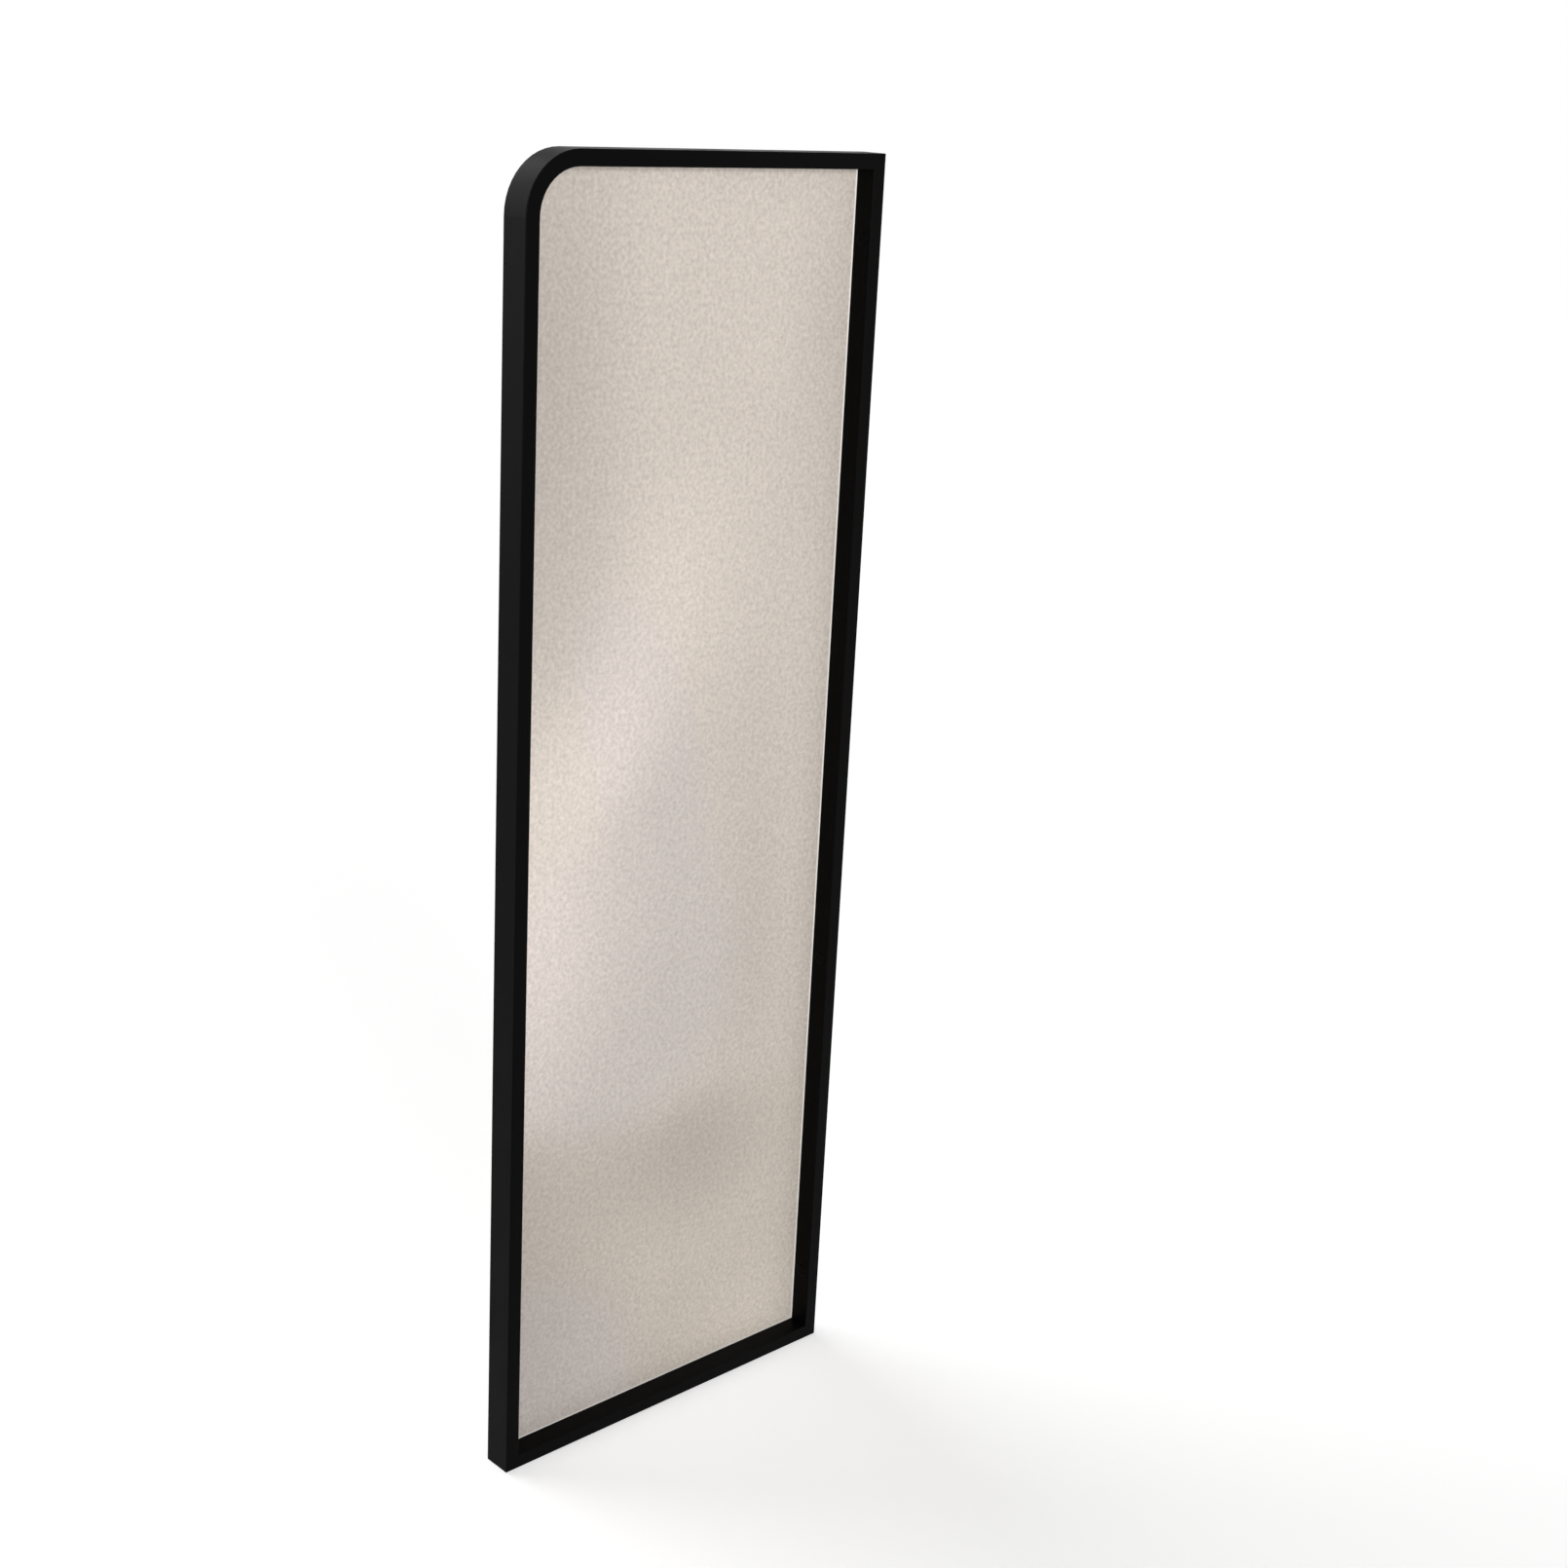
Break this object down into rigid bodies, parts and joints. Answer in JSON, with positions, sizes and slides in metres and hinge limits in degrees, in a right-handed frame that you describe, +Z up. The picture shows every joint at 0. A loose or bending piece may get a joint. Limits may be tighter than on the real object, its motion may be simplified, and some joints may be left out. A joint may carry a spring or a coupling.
{
  "type": "urinal privacy screen",
  "caption": "Wall-hung washroom privacy screen: a tall frosted glass panel set deep in a slim black aluminium frame with a rounded top corner at its free edge.",
  "frame": {"origin": "on the face that meets the wall, at mid-depth, level with the bottom edge", "axes": "+X out of the front face, where the glass is set deep; +Y towards the wall; +Z up"},
  "size_m": [0.03, 0.4, 1.2],
  "materials": {
    "frame_black": "satin black powder coat",
    "frosted_glass": "warm greige frosted glass with a fine sparkle",
    "gasket_pale": "pale translucent silicone",
    "packer_rubber": "matte black",
    "key_aluminium": "mill finish extrusion",
    "plate_steel": "stamped stainless",
    "screw_steel": "bright zinc plate",
    "cap_black": "satin moulded"
  },
  "bodies": {
    "root": {"bent_frame": "frame_black", "bottom_rail": "frame_black", "wall_stile": "frame_black", "top_wall_corner_key": "key_aluminium", "bottom_wall_corner_key": "key_aluminium", "bottom_front_corner_key": "key_aluminium", "mitre_alignment_plates": "plate_steel", "corner_key_screws": "screw_steel", "glass_panel": "frosted_glass", "front_gasket": "gasket_pale", "rear_gasket": "gasket_pale", "setting_blocks": "packer_rubber", "edge_packers": "packer_rubber", "bent_bead": "frame_black", "bottom_bead": "frame_black", "wall_bead": "frame_black", "fixing_hole_caps": "cap_black"}
  },
  "joints": []
}
